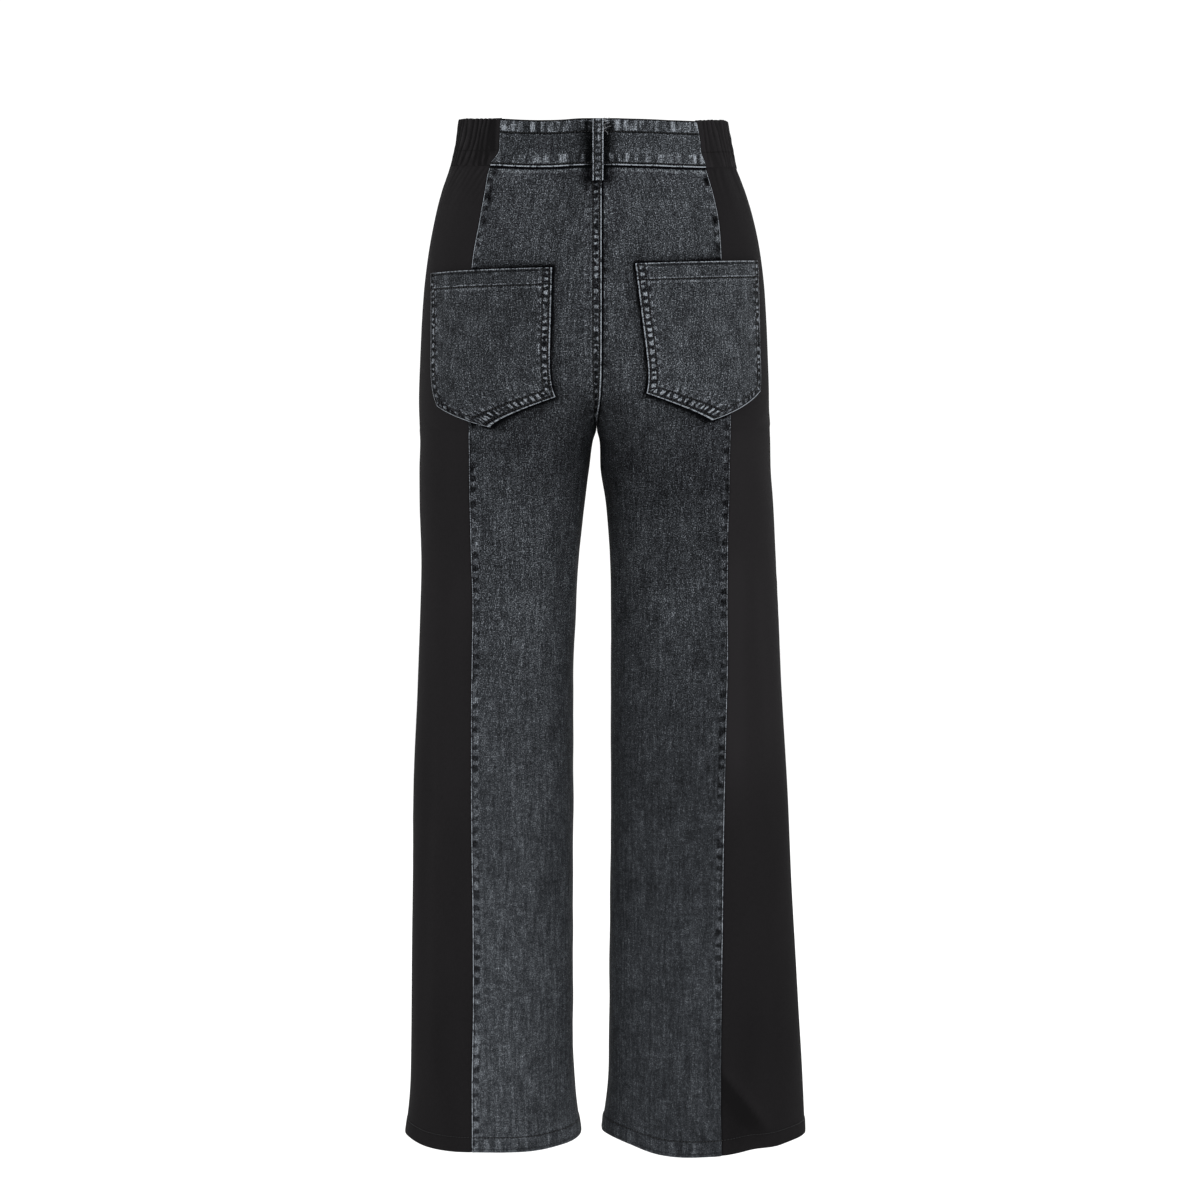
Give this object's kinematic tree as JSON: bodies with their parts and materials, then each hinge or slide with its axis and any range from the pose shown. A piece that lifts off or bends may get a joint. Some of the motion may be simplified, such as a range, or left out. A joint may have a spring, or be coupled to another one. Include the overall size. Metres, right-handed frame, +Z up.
{
  "type": "wide-leg jeans",
  "caption": "High-waisted wide-leg jeans in washed denim with plain black side panels, gathered waistband sides, a belt loop over the seat seam and pointed patch pockets.",
  "frame": {"origin": "the middle of the waist opening, half way up the waistband, where the wearer holds the jeans up", "axes": "+Z up out of the waist, -Y the way the wearer faces, +X the wearer's left"},
  "size_m": [0.4085, 0.2403, 1.028],
  "materials": {
    "washed_denim": "matte",
    "black_twill": "matte",
    "button_metal": "satin"
  },
  "bodies": {
    "root": {"back_left": "washed_denim", "back_right": "washed_denim", "side_back_left": "black_twill", "side_back_right": "black_twill", "side_front_left": "black_twill", "side_front_right": "black_twill", "front_left": "washed_denim", "front_right": "washed_denim", "waistband_back": "washed_denim", "waistband_side_left": "black_twill", "waistband_side_right": "black_twill", "waistband_front_left": "washed_denim", "waistband_front_right": "washed_denim", "back_pocket_left": "washed_denim", "back_pocket_right": "washed_denim", "belt_loop_back": "washed_denim", "belt_loop_front_left": "washed_denim", "belt_loop_front_right": "washed_denim", "waist_button": "button_metal"}
  },
  "joints": []
}
